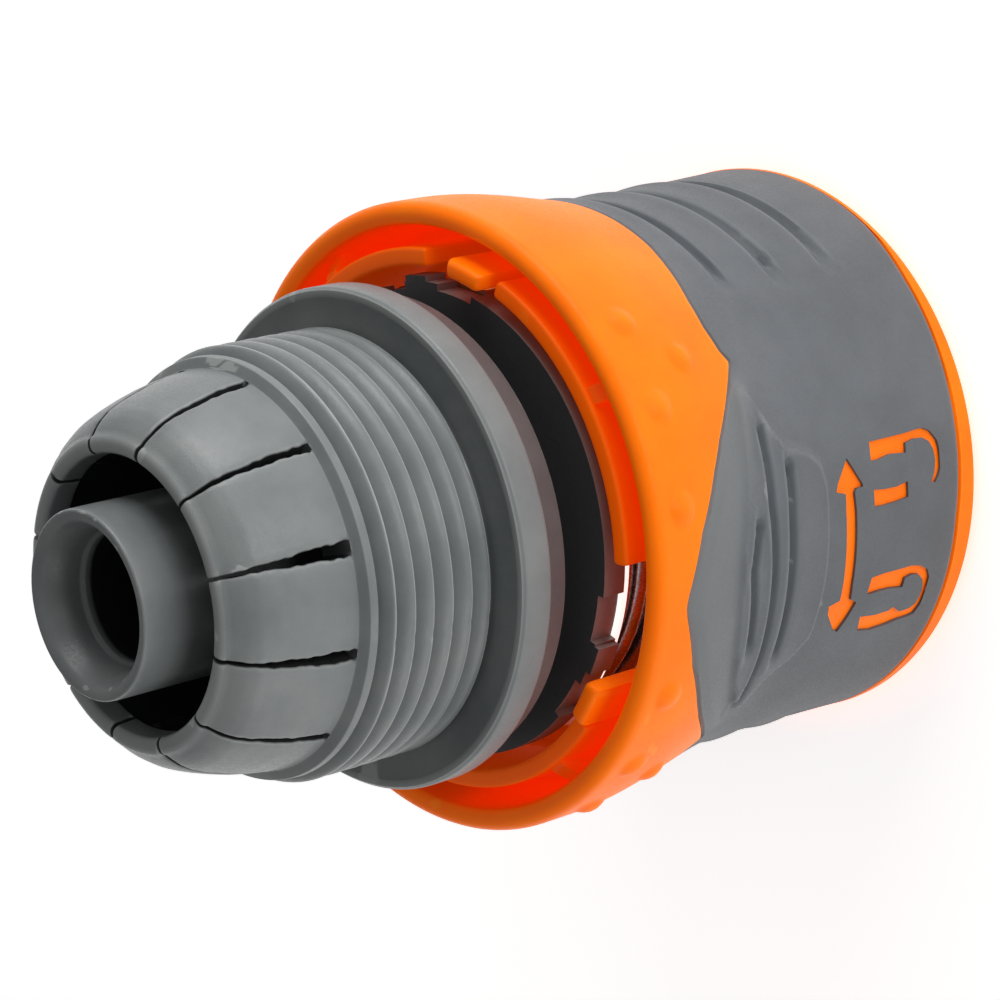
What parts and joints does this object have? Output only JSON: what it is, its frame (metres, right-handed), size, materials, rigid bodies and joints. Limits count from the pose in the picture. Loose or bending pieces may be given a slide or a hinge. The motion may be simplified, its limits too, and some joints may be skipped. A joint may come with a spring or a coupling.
{
  "type": "garden hose quick connector",
  "caption": "Click-on connector for a half-inch garden hose: collet and nut thread at one end, spring-loaded turning collar with claws for a tap nipple at the other.",
  "frame": {"origin": "centre of the tap end, on the plane that the part stands on", "axes": "+Z along the water way towards the hose end; the side with one thumb pad faces the azimuth -115 degrees"},
  "size_m": [0.0452, 0.0456, 0.0641],
  "materials": {
    "body_grey": "semi-gloss moulded",
    "socket_grey": "satin moulded",
    "seal_rubber": "matte",
    "white_acetal": "smooth",
    "spring_steel": "drawn wire",
    "claw_acetal": "smooth",
    "collar_orange": "semi-gloss moulded",
    "grip_grey": "soft-touch satin"
  },
  "bodies": {
    "root": {"hose_body": "body_grey", "socket_body": "socket_grey", "joint_seal": "seal_rubber", "slip_washer": "white_acetal", "spring": "spring_steel", "end_ring": "body_grey"},
    "follower": {"spring_seat": "white_acetal"},
    "collar": {"collar_shell": "collar_orange", "collar_grip": "grip_grey"},
    "claw_a": {"claw_1": "claw_acetal"},
    "claw_b": {"claw_2": "claw_acetal"},
    "claw_c": {"claw_3": "claw_acetal"},
    "claw_d": {"claw_4": "claw_acetal"}
  },
  "joints": [
    {"name": "collar_pull", "type": "slide", "parent": "root", "child": "follower", "axis": [0, 0, 1], "range_m": [0, 0.006], "stiffness_N_per_m": 400, "springref_m": -0.008, "deforming": ["spring"]},
    {"name": "collar_twist", "type": "hinge", "parent": "follower", "child": "collar", "pos_m": [0, 0, 0.0166], "axis": [0, 0, 1], "range_deg": [0, 40]},
    {"name": "claw_a_slide", "type": "slide", "parent": "root", "child": "claw_a", "axis": [0.7071, 0.7071, 0], "range_m": [0, 0.0015]},
    {"name": "claw_b_slide", "type": "slide", "parent": "root", "child": "claw_b", "axis": [-0.7071, 0.7071, 0], "range_m": [0, 0.0015]},
    {"name": "claw_c_slide", "type": "slide", "parent": "root", "child": "claw_c", "axis": [-0.7071, -0.7071, 0], "range_m": [0, 0.0015]},
    {"name": "claw_d_slide", "type": "slide", "parent": "root", "child": "claw_d", "axis": [0.7071, -0.7071, 0], "range_m": [0, 0.0015]}
  ],
  "couplings": [
    {"joint": "claw_a_slide", "follows": "collar_pull", "ratio": 0.25},
    {"joint": "claw_b_slide", "follows": "collar_pull", "ratio": 0.25},
    {"joint": "claw_c_slide", "follows": "collar_pull", "ratio": 0.25},
    {"joint": "claw_d_slide", "follows": "collar_pull", "ratio": 0.25}
  ]
}
